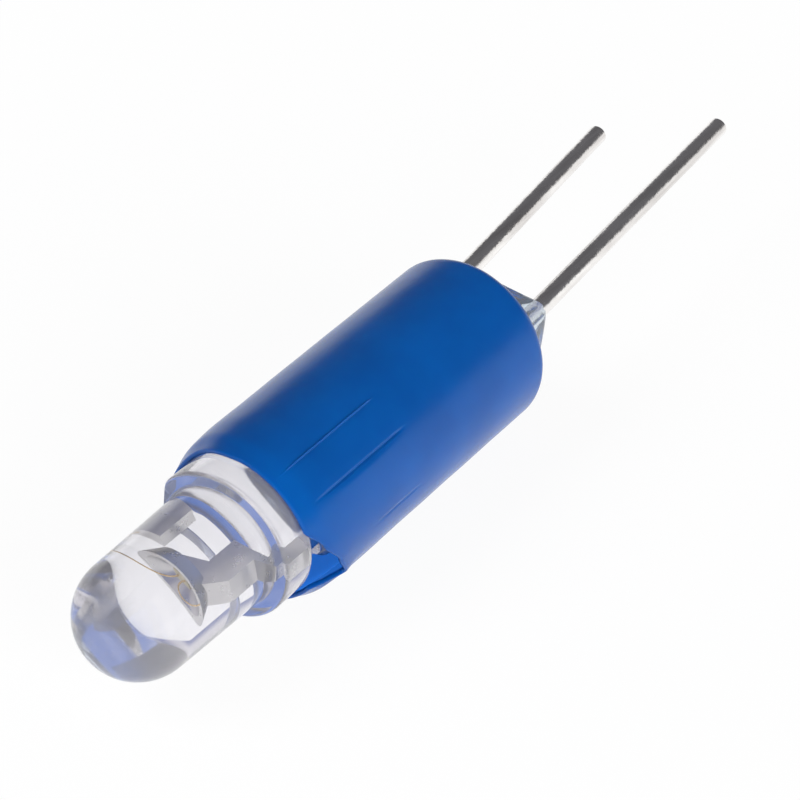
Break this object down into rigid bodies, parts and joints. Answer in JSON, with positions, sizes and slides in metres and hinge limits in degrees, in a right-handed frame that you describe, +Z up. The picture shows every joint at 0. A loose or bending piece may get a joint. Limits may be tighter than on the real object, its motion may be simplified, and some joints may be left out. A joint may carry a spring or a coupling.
{
  "type": "led indicator lamp",
  "caption": "Slim indicator lamp: clear round-tipped lens with a flange, blue shrink sleeve behind it and wire pins out of a sealed rear.",
  "frame": {"origin": "on the surface that the lamp lies on, under the middle of its box", "axes": "+X along the lamp from the dome to the pins, +Z up, +Y to the side of the shorter pin"},
  "size_m": [0.0252, 0.0048, 0.0044],
  "materials": {
    "clear_epoxy": "clear cast epoxy, polished",
    "potting_epoxy": "clear potting epoxy, as set",
    "blue_sleeve": "shrunk polyolefin, semi-gloss",
    "chip": "semiconductor die",
    "conductive_glue": "silver-filled glue",
    "gold_wire": "drawn gold wire",
    "silvered_steel": "stamped and silver plated",
    "ceramic_rod": "fired",
    "resistor_lacquer": "dipped lacquer",
    "tinned_wire": "tinned, dulled, drawn lines",
    "diode_glass": "sealed glass bead",
    "solder": "set solder"
  },
  "bodies": {
    "root": {"anode_anvil": "silvered_steel", "anode_bond_wire": "gold_wire", "anode_pin": "tinned_wire", "anode_solder": "solder", "cathode_bond_wire": "gold_wire", "cathode_pin": "tinned_wire", "cathode_post": "silvered_steel", "cathode_solder": "solder", "die_attach": "conductive_glue", "diode_die": "chip", "diode_front_lead": "tinned_wire", "diode_glass": "diode_glass", "led_chip": "chip", "led_lens": "clear_epoxy", "potting": "potting_epoxy", "resistor_coat": "resistor_lacquer", "resistor_core": "ceramic_rod", "resistor_front_cap": "tinned_wire", "resistor_front_lead": "tinned_wire", "resistor_rear_cap": "tinned_wire", "shrink_sleeve": "blue_sleeve"}
  },
  "joints": []
}
